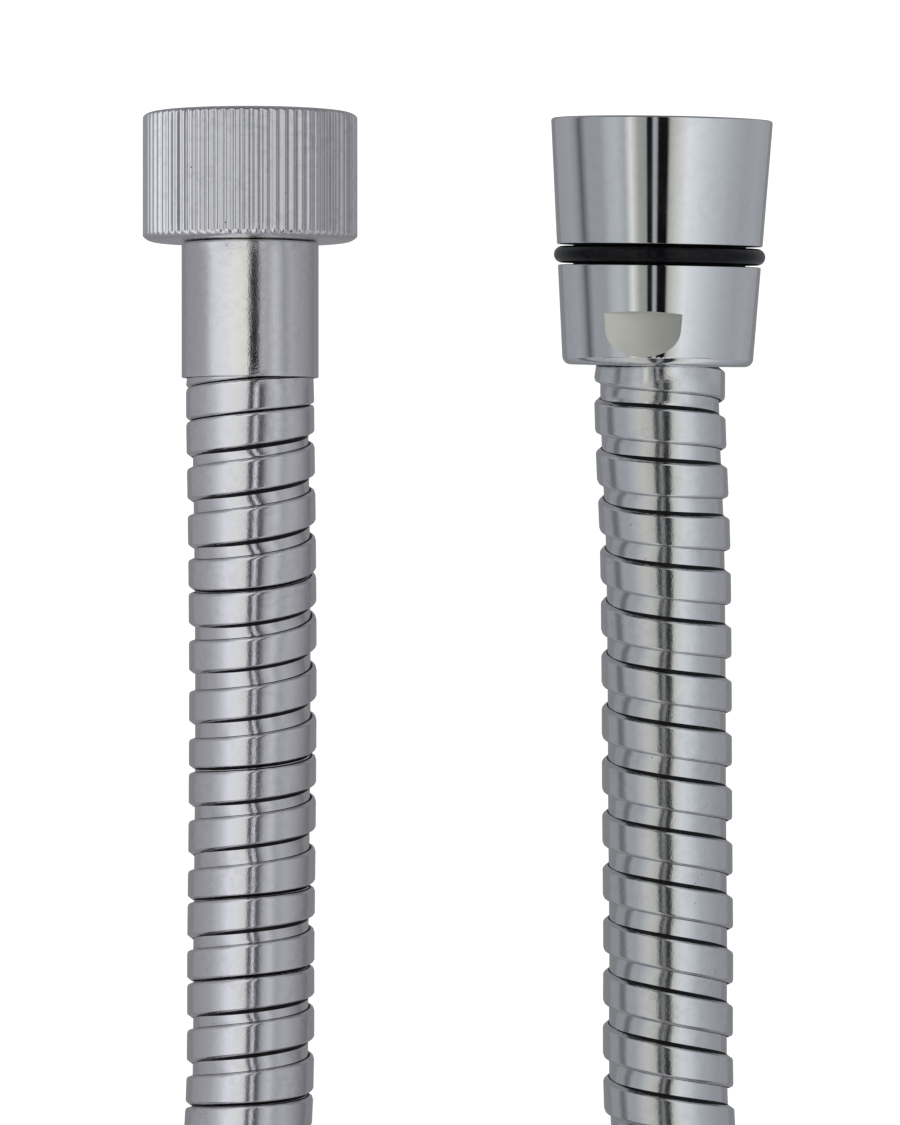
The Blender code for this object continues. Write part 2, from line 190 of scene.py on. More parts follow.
# Each tent is part of a pipe along y: its axis is (x, z), its span two values of y, and its panels are
# (degrees from straight up, brightness, warmth). A slide is (y where it starts, y where it ends, metres
# sideways that the panels have moved by then).
tentValues = {
    "radius": 0.0215,
    "reach": 118.0,  # degrees each way from straight up
    "steps": 60,
    "warm": (1.010, 1.010, 0.930),
    "hiddenFrom": ("camera", "diffuse", "transmission", "volume_scatter", "shadow"),
}
leftCool = (0.985, 0.990, 1.055)
rightCool = (0.950, 1.000, 1.060)
tents = {
    "tent_knurled_nut": {
        "axis": (-0.0223, 0.0115), "span": (0.0010, 0.0240), "cool": leftCool,
        "panels": [
            (-117, 0.30, 0), (-100, 0.42, 0), (-88, 0.36, 0), (-80, 0.40, 0), (-73, 0.60, 0), (-62, 0.97, 0),
            (-49, 0.97, 0), (-42, 0.72, 0), (-37, 0.42, 0), (-33, 0.18, 0), (-26, 0.18, 0), (-22, 0.55, 0),
            (-14, 0.76, 0.3), (-9, 0.52, 0.4), (-4, 0.95, 0.5), (0, 0.46, 0.5), (4, 0.50, 0.5),
            (7, 0.98, 0.5), (10, 0.52, 0.4), (14, 0.56, 0.3), (19, 0.92, 0.3), (24, 0.42, 0), (31, 0.40, 0),
            (38, 0.24, 0),
            (47, 0.24, 0), (53, 0.40, 0), (59, 0.62, 0), (65, 0.25, 0), (72, 0.25, 0), (83, 0.40, 0),
            (97, 0.36, 0), (113, 0.28, 0),
        ],
    },
    "tent_ferrule": {
        "axis": (-0.0223, 0.0110), "span": (-0.0140, 0.0010), "cool": leftCool,
        "panels": [
            (-117, 0.31, 0), (-86, 0.35, 0), (-70, 0.38, 0), (-62, 0.46, 0), (-52, 0.78, 0), (-42, 0.84, 0),
            (-22, 0.92, 0.5), (-11, 0.87, 1), (-1, 0.86, 1), (2, 0.02, 0.3), (12.5, 0.02, 0.3),
            (16, 0.52, 0.3),
            (26, 0.42, 0.3), (36, 0.64, 0), (43, 0.52, 0), (50, 0.34, 0), (62, 0.46, 0), (75, 0.38, 0),
            (90, 0.34, 0), (118, 0.22, 0),
        ],
    },
    "tent_knurled_leg": {
        "axis": (-0.0222, 0.0080), "span": (-0.1000, -0.0140), "cool": leftCool,
        "slide": (-0.0120, -0.0440, -0.0020),
        "panels": [
            (-117, 0.32, 0), (-86, 0.36, 0), (-66, 0.41, 0), (-48, 0.58, 0), (-31, 0.86, 0), (-14, 0.84, 0.5),
            (-2, 0.74, 0.5), (2, 0.08, 0), (6, 0.08, 0), (8, 0.74, 0), (11, 0.74, 0), (13, 0.06, 0),
            (18, 0.12, 0), (24, 0.44, 0), (36, 0.62, 0), (46, 0.42, 0), (61, 0.47, 0), (76, 0.39, 0),
            (98, 0.24, 0), (118, 0.15, 0),
        ],
    },
    "tent_conical_nut": {
        "axis": (0.0217, 0.0113), "span": (-0.0150, 0.0240), "cool": rightCool,
        "panels": [
            (-118, 0.35, 0), (-88, 0.41, 0), (-80, 0.34, 0), (-73, 0.13, 0), (-65, 0.38, 0), (-51, 0.38, 0),
            (-44, 0.52, 0), (-37, 0.56, 0), (-30, 0.46, 0), (-25, 0.85, 0.8), (-19, 0.40, 1),
            (-13, 0.34, 0.6),
            (-12, 0.01, 0), (-8.5, 0.01, 0), (-7.5, 0.44, 0), (-5, 0.42, 0), (-4, 0.004, 0), (3, 0.004, 0),
            (5, 0.48, 0.8), (10, 0.66, 1), (19, 0.89, 0.3), (28, 0.77, 0), (41, 0.62, 0), (57, 0.48, 0),
            (74, 0.41, 0), (93, 0.43, 0), (118, 0.36, 0),
        ],
    },
    "tent_conical_leg": {
        "axis": (0.0224, 0.0080), "span": (-0.1000, -0.0150), "cool": rightCool,
        "slide": (-0.0200, -0.0950, -0.0026),
        "panels": [
            (-118, 0.33, 0), (-109, 0.34, 0), (-90, 0.34, 0), (-82, 0.17, 0), (-75, 0.19, 0), (-67, 0.41, 0),
            (-52, 0.41, 0), (-41, 0.52, 0), (-30, 0.60, 0.8), (-24, 0.58, 1), (-13, 0.50, 0.7),
            (-10, 0.06, 0),
            (-6, 0.06, 0), (-4, 0.30, 0.4), (-1, 0.24, 0.4), (1, 0.03, 0), (8, 0.03, 0), (11, 0.50, 0.8),
            (14, 0.66, 1), (26, 0.78, 0.3), (38, 0.70, 0), (54, 0.49, 0), (72, 0.41, 0), (86, 0.36, 0),
            (105, 0.34, 0), (117, 0.33, 0),
        ],
    },
}


def makeTent(name, values, tent):
    bm = bmesh.new()
    first, last = tent["span"]
    ends = [bm.verts.new((0, y, values["radius"])) for y in (first, last)]
    edge = bm.edges.new(ends)
    middle = Vector((tent["axis"][0], 0, tent["axis"][1]))
    reach = math.radians(values["reach"])
    bmesh.ops.rotate(bm, verts=ends, cent=(0, 0, 0), matrix=Matrix.Rotation(-reach, 3, "Y"))
    bmesh.ops.spin(
        bm, geom=[*ends, edge], cent=(0, 0, 0), axis=(0, 1, 0), dvec=(0, 0, 0),
        angle=2 * reach, steps=values["steps"],
    )
    bmesh.ops.translate(bm, verts=bm.verts, vec=middle)
    mesh = newMesh(name, bm)
    material, tree = newMaterial(name)
    place = addNode(tree, "TexCoord").outputs["Object"]
    fromAxis = addNode(tree, "VectorMath", {0: place, 1: middle}, operation="SUBTRACT").outputs[0]
    parts = addNode(tree, "SeparateXYZ", {0: fromAxis})
    slideStart, slideEnd, slide = tent.get("slide", (first, last, 0.0))
    slid = addRange(tree, parts.outputs["Y"], (slideStart, slideEnd), (0.0, slide))
    sideways = addMath(tree, "SUBTRACT", parts.outputs["X"], slid)
    angle = addMath(tree, "ARCTAN2", sideways, parts.outputs["Z"])
    share = addRange(tree, angle, (-reach, reach))
    stops = []
    for degrees, level, warmth in tent["panels"]:
        tint = Vector(tent["cool"]).lerp(Vector(values["warm"]), warmth)
        stops.append(((degrees / values["reach"] + 1) / 2, tuple(tint * level)))
    glow = addNode(tree, "Emission", {"Color": addRamp(tree, share, stops)})
    addNode(tree, "OutputMaterial", {"Surface": glow.outputs[0]})
    material.cycles.emission_sampling = "NONE"
    mesh.materials.append(material)
    pipe = addObject(name, mesh)
    for ray in values["hiddenFrom"]:
        setattr(pipe, "visible_" + ray, False)


bpy.context.scene.view_settings.view_transform = "Standard"
makeWorld(roomValues)
makeFloor(roomValues)
for tentName, tent in tents.items():
    makeTent(tentName, tentValues, tent)
print("light set:", len(tents), "tents")


# Effects that the materials share

effectValues = {
    "patchGrains": 0.23,  # grains in the coarser patches, for each fine one
    "patchHeight": 0.6,  # and how high they stand beside the fine ones
    "patchEdges": (0.42, 0.62),  # noise levels between which a mask rises, here and in the next two
    "dullEdges": (0.35, 0.68),
    "streakEdges": (0.55, 0.72),
    "pitReach": 0.10,  # as a share of a cell
}


def newGroup(name, inputs, outputs):
    tree = bpy.data.node_groups.new(name, "ShaderNodeTree")
    for label, kind in inputs:
        tree.interface.new_socket(label, in_out="INPUT", socket_type="NodeSocket" + kind)
    for label, kind in outputs:
        tree.interface.new_socket(label, in_out="OUTPUT", socket_type="NodeSocket" + kind)
    enter = tree.nodes.new("NodeGroupInput")
    leave = tree.nodes.new("NodeGroupOutput")
    return tree, enter.outputs, leave.inputs


def addNoise(tree, vector, scale, detail, roughness, distortion=0.0):
    inputs = {
        "Vector": vector, "Scale": scale, "Detail": detail, "Roughness": roughness, "Distortion": distortion,
    }
    return addNode(tree, "TexNoise", inputs).outputs["Fac"]


def makeGrain(values):
    # Fine uneven grain of a plated surface: a height for bumps and a mask of its coarser patches
    tree, enter, leave = newGroup(
        "fineGrain", [("Vector", "Vector"), ("Grains", "Float")], [("Height", "Float"), ("Mask", "Float")]
    )
    fine = addNoise(tree, enter["Vector"], enter["Grains"], detail=2.0, roughness=0.6)
    fewer = addMath(tree, "MULTIPLY", enter["Grains"], values["patchGrains"])
    coarse = addNoise(tree, enter["Vector"], fewer, detail=2.0, roughness=0.5)
    raised = addMath(tree, "MULTIPLY", coarse, values["patchHeight"])
    tree.links.new(addMath(tree, "ADD", fine, raised), leave["Height"])
    mask = addRange(tree, coarse, values["patchEdges"], interpolation="SMOOTHSTEP")
    tree.links.new(mask, leave["Mask"])
    return tree


def makeHandling(values):
    # Wiped and handled metal: roughness that wanders, and a mask of the duller places
    tree, enter, leave = newGroup(
        "handling",
        [("Vector", "Vector"), ("Patches", "Float"), ("Low", "Float"), ("High", "Float")],
        [("Roughness", "Float"), ("Mask", "Float")],
    )
    patches = addNoise(tree, enter["Vector"], enter["Patches"], detail=4.0, roughness=0.55, distortion=0.4)
    mask = addRange(tree, patches, values["dullEdges"], interpolation="SMOOTHSTEP")
    rough = addRange(tree, mask, (0.0, 1.0), (enter["Low"], enter["High"]))
    tree.links.new(rough, leave["Roughness"])
    tree.links.new(mask, leave["Mask"])
    return tree


def makeToolMarks(values):
    # Streaks left by turning or drawing: Stretch is how many there are to a metre along each axis
    tree, enter, leave = newGroup(
        "toolMarks", [("Vector", "Vector"), ("Stretch", "Vector")], [("Height", "Float"), ("Mask", "Float")]
    )
    stretched = addNode(
        tree, "VectorMath", {0: enter["Vector"], 1: enter["Stretch"]}, operation="MULTIPLY"
    ).outputs[0]
    streaks = addNoise(tree, stretched, 1.0, detail=3.0, roughness=0.7)
    tree.links.new(streaks, leave["Height"])
    tree.links.new(addRange(tree, streaks, values["streakEdges"]), leave["Mask"])
    return tree


def makePits(values):
    # Sparse pin pricks in the plating
    tree, enter, leave = newGroup(
        "pits", [("Vector", "Vector"), ("Cells", "Float"), ("Share", "Float")], [("Mask", "Float")]
    )
    cells = addNode(tree, "TexVoronoi", {"Vector": enter["Vector"], "Scale": enter["Cells"]})
    near = addMath(tree, "LESS_THAN", cells.outputs["Distance"], values["pitReach"])
    pick = addNode(tree, "SeparateColor", {0: cells.outputs["Color"]}).outputs[0]
    chosen = addMath(tree, "LESS_THAN", pick, enter["Share"])
    tree.links.new(addMath(tree, "MULTIPLY", near, chosen), leave["Mask"])
    return tree


grainGroup = makeGrain(effectValues)
handlingGroup = makeHandling(effectValues)
toolMarksGroup = makeToolMarks(effectValues)
pitsGroup = makePits(effectValues)
print("shared effects made")


# Materials

chromeValues = {
    "satin_chrome_knurled": {  # the knurled nut
        "colour": (0.755, 0.757, 0.775), "dull": (0.665, 0.667, 0.685), "pit": (0.16, 0.16, 0.17),
        "roughness": (0.11, 0.19), "patches": 260.0,
        "grains": 5200.0, "grainHeight": 3.0e-6,
        "stretch": (3800.0, 55.0, 3800.0), "toolHeight": 4.5e-6,
        "cells": 1100.0, "pitShare": 0.05,
    },
    "satin_chrome_drawn": {  # the knurled end's ferrule
        "colour": (0.765, 0.767, 0.785), "dull": (0.705, 0.707, 0.725), "pit": (0.20, 0.20, 0.21),
        "roughness": (0.10, 0.16), "patches": 200.0,
        "grains": 5200.0, "grainHeight": 15.0e-6,
        "stretch": (900.0, 90.0, 900.0), "toolHeight": 1.0e-6,
        "cells": 1100.0, "pitShare": 0.01,
    },
    "hose_chrome": {
        "colour": (0.765, 0.767, 0.785), "dull": (0.700, 0.702, 0.720), "pit": (0.22, 0.22, 0.23),
        "roughness": (0.08, 0.15), "patches": 230.0,
        "grains": 5200.0, "grainHeight": 10.0e-6,
        "stretch": (260.0, 3200.0, 260.0), "toolHeight": 1.0e-6,
        "cells": 1300.0, "pitShare": 0.01,
    },
    "polished_chrome": {  # the conical nut
        "colour": (0.775, 0.778, 0.795), "dull": (0.735, 0.738, 0.755), "pit": (0.30, 0.30, 0.31),
        "roughness": (0.045, 0.085), "patches": 140.0,
        "grains": 4200.0, "grainHeight": 0.8e-6,
        "stretch": (150.0, 4200.0, 150.0), "toolHeight": 1.0e-6,
        "cells": 1500.0, "pitShare": 0.003,
    },
    "milled_chrome": {  # the conical nut's wrench flats
        "colour": (0.715, 0.718, 0.668), "dull": (0.685, 0.688, 0.640), "pit": (0.40, 0.40, 0.38),
        "roughness": (0.36, 0.42), "patches": 300.0,
        "grains": 4200.0, "grainHeight": 1.2e-6,
        "stretch": (150.0, 4200.0, 150.0), "toolHeight": 1.2e-6,
        "cells": 1500.0, "pitShare": 0.001,
    },
    "brass": {
        "colour": (0.62, 0.46, 0.22), "dull": (0.47, 0.33, 0.15), "pit": (0.20, 0.14, 0.07),
        "roughness": (0.22, 0.36), "patches": 300.0,
        "grains": 3000.0, "grainHeight": 3.0e-6,
        "stretch": (200.0, 4000.0, 200.0), "toolHeight": 4.0e-6,
        "cells": 700.0, "pitShare": 0.04,
    },
}
# Black rubber, and two near-black painted-shade materials built the same way
rubberAndShadeValues = {
    # painted shade: near black on the faces at the foot of each crest's side, where the gap lies in shadow
    "seam_shadow": {  # the dark gap beside each turn of the armour
        "colour": (0.004, 0.004, 0.005), "dusty": (0.012, 0.012, 0.013),
        "roughness": (0.40, 0.60), "gloss": 0.12,
        "patches": 500.0, "grains": 5000.0, "grainHeight": 2.0e-6,
    },
    # painted shade: near black for the shadowed groove behind the O-ring
    "groove_painted_shade": {  # behind the O-ring
        "colour": (0.006, 0.006, 0.007), "dusty": (0.014, 0.014, 0.015),
        "roughness": (0.45, 0.60), "gloss": 0.15,
        "patches": 400.0, "grains": 5000.0, "grainHeight": 2.0e-6,
    },
    "black_rubber": {  # the O-ring and the washers
        "colour": (0.003, 0.003, 0.004), "dusty": (0.007, 0.007, 0.009),
        "roughness": (0.14, 0.20), "gloss": 0.16,
        "patches": 420.0, "grains": 6500.0, "grainHeight": 3.0e-6,
    },
}


def addGroup(tree, group, inputs):
    return addNode(tree, "Group", inputs, node_tree=group).outputs


def mixColour(tree, factor, first, second):
    first, second = (
        value if isinstance(value, bpy.types.NodeSocket) else (*value, 1.0) for value in (first, second)
    )
    return addNode(tree, "Mix", {0: factor, 6: first, 7: second}, data_type="RGBA").outputs[2]


def addBump(tree, depth, height, inputs=None):
    return addNode(tree, "Bump", {"Distance": depth, "Height": height, **(inputs or {})}).outputs["Normal"]


def startFinish(name, values):
    # What every finish shares: wandering roughness and a fine grain
    material, tree = newMaterial(name)
    place = addNode(tree, "TexCoord").outputs["Object"]
    low, high = values["roughness"]
    handling = addGroup(
        tree, handlingGroup, {"Vector": place, "Patches": values["patches"], "Low": low, "High": high}
    )
    grain = addGroup(tree, grainGroup, {"Vector": place, "Grains": values["grains"]})
    return material, tree, place, handling, grain


def makeChrome(name, values):
    material, tree, place, handling, grain = startFinish(name, values)
    marks = addGroup(tree, toolMarksGroup, {"Vector": place, "Stretch": values["stretch"]})
    pits = addGroup(
        tree, pitsGroup, {"Vector": place, "Cells": values["cells"], "Share": values["pitShare"]}
    )
    worn = addMath(tree, "MAXIMUM", handling["Mask"], marks["Mask"])
    dullness = addMath(tree, "MULTIPLY", worn, grain["Mask"])
    plating = mixColour(tree, dullness, values["colour"], values["dull"])
    colour = mixColour(tree, pits["Mask"], plating, values["pit"])
    streaked = addBump(tree, values["toolHeight"], marks["Height"])
    grained = addBump(tree, values["grainHeight"], grain["Height"], {"Normal": streaked})
    shader = addNode(
        tree, "BsdfPrincipled",
        {"Base Color": colour, "Metallic": 1.0, "Roughness": handling["Roughness"], "Normal": grained},
    )
    addNode(tree, "OutputMaterial", {"Surface": shader.outputs[0]})
    return material


def makeRubberAndShade(name, values):
    material, tree, place, handling, grain = startFinish(name, values)
    dust = addMath(tree, "MULTIPLY", handling["Mask"], grain["Mask"])
    shader = addNode(
        tree, "BsdfPrincipled",
        {
            "Base Color": mixColour(tree, dust, values["colour"], values["dusty"]),
            "Roughness": handling["Roughness"],
            "Normal": addBump(tree, values["grainHeight"], grain["Height"]),
            "Specular IOR Level": values["gloss"],
        },
    )
    addNode(tree, "OutputMaterial", {"Surface": shader.outputs[0]})
    return material


finishes = {name: makeChrome(name, values) for name, values in chromeValues.items()}
finishes.update({name: makeRubberAndShade(name, values) for name, values in rubberAndShadeValues.items()})
print("materials made:", len(finishes))


# The two ends' own spaces, from the swivels of their nuts


def endSpace(nut):
    joint = next(j for j in frame["joints"] if j["child"] == nut)
    out = Vector(joint["axis"]).normalized()
    side = out.cross(Vector((0, 0, 1))).normalized()
    down = out.cross(side)
    space = Matrix((side, down, out)).transposed().to_4x4()
    space.translation = joint["pos_m"]
    return space


knurledSpace = endSpace("knurled_nut")
conicalSpace = endSpace("conical_nut")


# Route of the hose: down each leg, then three strands wound into a coil

hoseRoute = {
    "legHeight": 0.00705,  # of a strand's middle where it lies on the floor
    "knurledDepths": (0.0152, 0.0294, 0.0324),  # inside the ferrule, out of it, end of the straight
    "conicalDepths": (0.0139, 0.0268, 0.0288),
    "conicalSideways": 0.00025,  # the armour lies against one side of its ferrule
    # A leg's points are x, y and, where it is above the floor, its height
    "knurledLeg": [
        (-0.02212, -0.0300, 0.01075),
        (-0.02208, -0.0450, 0.00870),
        (-0.02218, -0.0600, 0.00738),
        (-0.02234, -0.0740),
        (-0.0226, -0.0940),
        (-0.0240, -0.1071),
        (-0.0282, -0.1195),
        (-0.0350, -0.1306),
        (-0.0443, -0.1403),
        (-0.0536, -0.1500),
        (-0.0604, -0.1611),
        (-0.0646, -0.1735),
    ],
    "conicalLeg": [
        (0.02186, -0.0220, 0.01064),
        (0.02230, -0.0315, 0.00958),
        (0.02252, -0.0450, 0.00815),
        (0.02262, -0.0600, 0.00723),
        (0.02274, -0.0740),
        (0.0229, -0.0940),
        (0.0243, -0.1071),
        (0.0285, -0.1194),
        (0.0352, -0.1305),
        (0.0445, -0.1403),
        (0.0536, -0.1500),
        (0.0604, -0.1611),
        (0.0646, -0.1735),
    ],
    "coilCentre": (0.0, -0.1865),
    "lowRing": (0.066, 0.00705),  # radius and height of the strand that lies under the other two
    "innerRing": (0.060, 0.02103),
    "outerRing": (0.074, 0.02103),
    "pitch": 0.01420,  # strand to strand
    "roll": (60.3, 0.0, -66.8),  # degrees: how the three strands turn about each other at the back
    "sag": 0.0010,  # how far the upper strands sink where they bridge the gap between the legs
    "sagReach": 0.18,  # as a share of half a turn
    "halfTurnPoints": 24,
    "settle": (0.3, 0.2),  # shares of the back half: from its middle, then over which the strands settle
    "handChange": 0.006,  # how far past the first leg the winding changes hand
    "spacing": 0.002,  # of the finished route's points
    "exitDepth": 0.0284,  # where the armour leaves its ferrule
}


def backStrand(values, strand, share):
    # Radius and height of a strand in the coil's back half, at a share of that half
    low, inner, outer = (Vector(values[name]) for name in ("lowRing", "innerRing", "outerRing"))
    pitch = values["pitch"]
    first, middle, last = (math.radians(angle) for angle in values["roll"])
    if share < 0.5:
        roll = first + (middle - first) * share * 2
    else:
        roll = middle + (last - middle) * (share * 2 - 1)
    radius = low.x + (inner.x - low.x) * min(share * 2, 1.0)
    floor = values["legHeight"]
    rise = pitch * math.sin(roll)
    innerPlace = Vector((radius, floor + max(-rise, 0.0)))
    if strand == 0:
        place = innerPlace
    elif strand == 2:
        place = Vector((radius + pitch * math.cos(roll), floor + max(rise, 0.0)))
    else:
        over = roll + math.radians(60)  # the three strands stand in an even triangle
        place = innerPlace + pitch * Vector((math.cos(over), math.sin(over)))
    ends = ((low, inner, outer), (inner, outer, low))
    target = ends[0 if share < 0.5 else 1][strand]
    settleFrom, settleOver = values["settle"]
    return place.lerp(target, smoothStep((abs(share - 0.5) - settleFrom) / settleOver))


def coilPoints(values):
    count = values["halfTurnPoints"]
    centre = Vector((*values["coilCentre"], 0))
    points = []
    for half in range(5):  # even ones lie at the back, odd ones on the side of the legs
        for step in range(count):
            share = step / count
            if half % 2 == 0:
                radius, height = backStrand(values, half // 2, share)
            else:
                radius, height = values["innerRing"] if half == 1 else values["outerRing"]
                height -= values["sag"] * smoothStep(1 - abs(share - 0.5) / values["sagReach"])
            angle = math.pi * (1 + half + share)
            points.append(centre + Vector((radius * math.cos(angle), radius * math.sin(angle), height)))
    radius, height = values["lowRing"]
    points.append(centre + Vector((radius, 0, height)))
    return points


def smoothRoute(points, spacing):
    # Points about a spacing apart on the centripetal curve through the given ones
    ends = [points[0] * 2 - points[1], *points, points[-1] * 2 - points[-2]]
    route = []
    for p0, p1, p2, p3 in zip(ends, ends[1:], ends[2:], ends[3:]):
        t1 = (p1 - p0).length ** 0.5
        t2 = t1 + (p2 - p1).length ** 0.5
        t3 = t2 + (p3 - p2).length ** 0.5
        count = max(1, round((p2 - p1).length / spacing))
        for step in range(count):
            t = t1 + (t2 - t1) * step / count
            a1 = p0.lerp(p1, t / t1)
            a2 = p1.lerp(p2, (t - t1) / (t2 - t1))
            a3 = p2.lerp(p3, (t - t2) / (t3 - t2))
            b1 = a1.lerp(a2, t / t2)
            b2 = a2.lerp(a3, (t - t1) / (t3 - t1))
            route.append(b1.lerp(b2, (t - t1) / (t2 - t1)))
    return [*route, points[-1]]


def legPoints(values, leg):
    return [Vector((*point, values["legHeight"])[:3]) for point in values[leg]]


def wholeRoute(values):
    depths = [knurledSpace @ Vector((0, 0, -depth)) for depth in values["knurledDepths"]]
    sideways = values["conicalSideways"]
    otherDepths = [conicalSpace @ Vector((sideways, 0, -depth)) for depth in values["conicalDepths"]]
    out = [*depths, *legPoints(values, "knurledLeg")]
    back = [*otherDepths, *legPoints(values, "conicalLeg")]
    points = smoothRoute([*out, *coilPoints(values), *reversed(back)], values["spacing"])
    for point in points:
        point.z = max(point.z, values["legHeight"])  # the curve may not dip into the floor
    return points


route = wholeRoute(hoseRoute)
print("route has", len(route), "points")


# The hose's armour: a wound strip, each turn a raised crest with a recess beside it

armour = {
    "depth": 0.00066,
    "segments": 40,
    # Both sides of a crest, from the recess up: (distance along the hose, share of the depth)
    "slope": [(-0.00010, 1.0), (-0.00008, 0.80), (0.00024, 0.16), (0.00040, 0.0)],
    "shoulder": [(-0.00015, 1.0), (-0.00010, 0.62), (0.00006, 0.14), (0.00034, 0.0)],
    "rowRoom": 0.00001,  # least room between rows where a recess closes up
    "crimpedShare": 0.950,  # radius inside the ferrule
    "leanLength": 0.080,
    # seam is the width of the painted-shade strip at the slope's foot
    "seam": 0.00040,  # the dark gap at the slope's foot, where it is widest
    "seamStart": 0.1,  # cosine from the widest place at which the gap has closed
    "alongSpacing": 0.001,  # between the frames that the straight tube is bent by
}

# Each leg's winding, with the recesses read down the leg
knurledWinding = {
    "start": 0.0152,  # depths behind the mouth
    "crimpEnds": (0.0274, 0.0286),
    "firstGroove": 0.03218,
    "firstTurn": 0.25,
    "crestRadius": 0.00688,
    "crest": 0.00342,
    "seamWidest": (0.40, 0.92),  # sideways and up
    "recesses": [
        0.00002, 0.00128, 0.00158, 0.00151, 0.00028, 0.00158, 0.00205, 0.00195, 0.00038,
        0.00159, 0.00204, 0.00028, 0.00158, 0.00023, 0.00138, 0.00180, 0.00025, 0.00118,
    ],  # the last one holds for every turn beyond
    "lean": (0.0, 0.0),
    "slopeFirst": False,
    "leftHanded": False,
}
conicalWinding = {
    "start": 0.0139,
    "crimpEnds": (0.0250, 0.0262),
    "firstGroove": 0.02872,
    "firstTurn": 0.0,
    "crestRadius": 0.00703,
    "crest": 0.00348,
    "seamWidest": (0.25, 0.97),
    "recesses": [
        0.00180, 0.00182, 0.00186, 0.00212, 0.00228, 0.00228, 0.00230, 0.00233, 0.00235, 0.00233,
        0.00230, 0.00228, 0.00224, 0.00219,
    ],
    "lean": (-0.058, 0.054),  # the turns lean one way at the nut and the other way further down
    "slopeFirst": True,
    "leftHanded": True,
}


def recessAt(winding, turn):
    place = max(turn - winding["firstTurn"], 0.0)
    index = int(place)
    widths = winding["recesses"]
    if index >= len(widths) - 1:
        return widths[-1]
    return widths[index] + (widths[index + 1] - widths[index]) * smoothStep(place - index)


def grooveTable(values, winding, length):
    # Recess middles, one for each step of a segment, from before the tube's start to past its length
    segments = values["segments"]
    first = winding["firstGroove"] - winding["start"]
    before = math.ceil(first / winding["crest"]) + 1
    turn = winding["firstTurn"]
    places = {round(turn * segments): first}

    def advance(index):
        return (winding["crest"] + recessAt(winding, index / segments)) / segments

    index = round(turn * segments)
    while index > -before * segments:
        index -= 1
        places[index] = places[index + 1] - advance(index)
    index = round(turn * segments)
    while places[index] < length + 3 * winding["crest"] or index % segments:
        places[index + 1] = places[index] + advance(index)
        index += 1
    return places, -before, index // segments


def rowReach(values, profile, row, half, seam):
    # How far a row of a crest's side lies from its recess's middle
    offset = profile[row - 1][0]
    if row <= 2:
        offset += seam * (row - 1.5)
    return max(half + offset, values["rowRoom"] * row)


def spinStrip(segments, rows, turns):
    # A strip of so many rows spun up a helix that climbs one unit a turn
    bm = bmesh.new()
    strip = [bm.verts.new((1, 0, row / rows)) for row in range(rows + 1)]
    edges = [bm.edges.new(pair) for pair in zip(strip, strip[1:])]
    bmesh.ops.spin(
        bm, geom=strip + edges, cent=(0, 0, 0), axis=(0, 0, 1), dvec=(0, 0, 1 / segments),
        angle=math.tau, steps=segments,
    )
    made = 1
    while made < turns:
        copy = bmesh.ops.duplicate(bm, geom=bm.verts[:] + bm.edges[:] + bm.faces[:])["geom"]
        lifted = [item for item in copy if isinstance(item, bmesh.types.BMVert)]
        bmesh.ops.translate(bm, vec=(0, 0, made), verts=lifted)
        made *= 2
    bmesh.ops.remove_doubles(bm, verts=bm.verts, dist=0.2 / rows)
    spare = [vert for vert in bm.verts if vert.co.z > turns]
    bmesh.ops.delete(bm, geom=spare, context="VERTS")
    # Painted shade: these faces get the near-black second material
    for face in bm.faces:  # the second row and the last but one are in shadow at the foot of a crest's side
        middle = face.calc_center_median()
        share = (middle.z - math.atan2(middle.y, middle.x) / math.tau) % 1
        face.material_index = 1 if int(share * rows) in (1, rows - 2) else 0
    return bm


def cutEnds(bm, length):
    # Flat, closed ends at the start and at the tube's length
    for height, outward in ((0.0, -1), (length, 1)):
        cut = bmesh.ops.bisect_plane(
            bm, geom=bm.verts[:] + bm.edges[:] + bm.faces[:], dist=1e-8,
            plane_co=(0, 0, height), plane_no=(0, 0, outward), clear_outer=True,
        )
        rim = [item for item in cut["geom_cut"] if isinstance(item, bmesh.types.BMEdge)]
        bmesh.ops.edgeloop_fill(bm, edges=rim)


def windTube(values, winding, length):
    # A straight tube: every point of the spun strip goes to its place beside the recesses
    segments = values["segments"]
    near, far = values["shoulder"], values["slope"]
    if winding["slopeFirst"]:
        near, far = far, near
    rows = 1 + len(near) + len(far)
    places, firstTurn, lastTurn = grooveTable(values, winding, length)
    bm = spinStrip(segments, rows, lastTurn - firstTurn - 2)
    crimpStart, crimpEnd = (depth - winding["start"] for depth in winding["crimpEnds"])
    firstLean, lastLean = winding["lean"]
    widestSide, widestUp = winding["seamWidest"]
    seamStart = values["seamStart"]
    for vert in bm.verts:
        step = round(math.atan2(vert.co.y, vert.co.x) / math.tau * segments) % segments
        height = vert.co.z - step / segments
        turn = math.floor(height + 0.5 / rows)
        row = round((height - turn) * rows)
        index = (turn + firstTurn) * segments + step
        angle = math.tau * step / segments
        across = math.cos(angle) * (-1 if winding["leftHanded"] else 1)
        towardsWidest = across * widestSide + math.sin(angle) * widestUp
        seam = values["seam"] * smoothStep((towardsWidest - seamStart) / (1 - seamStart))
        depth = 1.0
        along = places[index]
        if 0 < row <= len(near):
            depth = near[row - 1][1]
            half = recessAt(winding, index / segments) / 2
            reach = rowReach(values, near, row, half, seam if winding["slopeFirst"] else 0.0)
            along = places[index] + reach
        elif row > len(near):
            depth = far[rows - 1 - row][1]
            half = recessAt(winding, index / segments + 1) / 2
            reach = rowReach(values, far, rows - row, half, 0.0 if winding["slopeFirst"] else seam)
            along = places[index + segments] - reach
        radius = winding["crestRadius"] - values["depth"] * depth
        crimp = 1 - smoothStep((along - crimpStart) / (crimpEnd - crimpStart))
        radius *= 1 - (1 - values["crimpedShare"]) * crimp
        side = radius * across
        lean = firstLean + (lastLean - firstLean) * min(max(along / values["leanLength"], 0), 1)
        vert.co = (side, radius * math.sin(angle), along + lean * side)
    cutEnds(bm, length)
    return bm


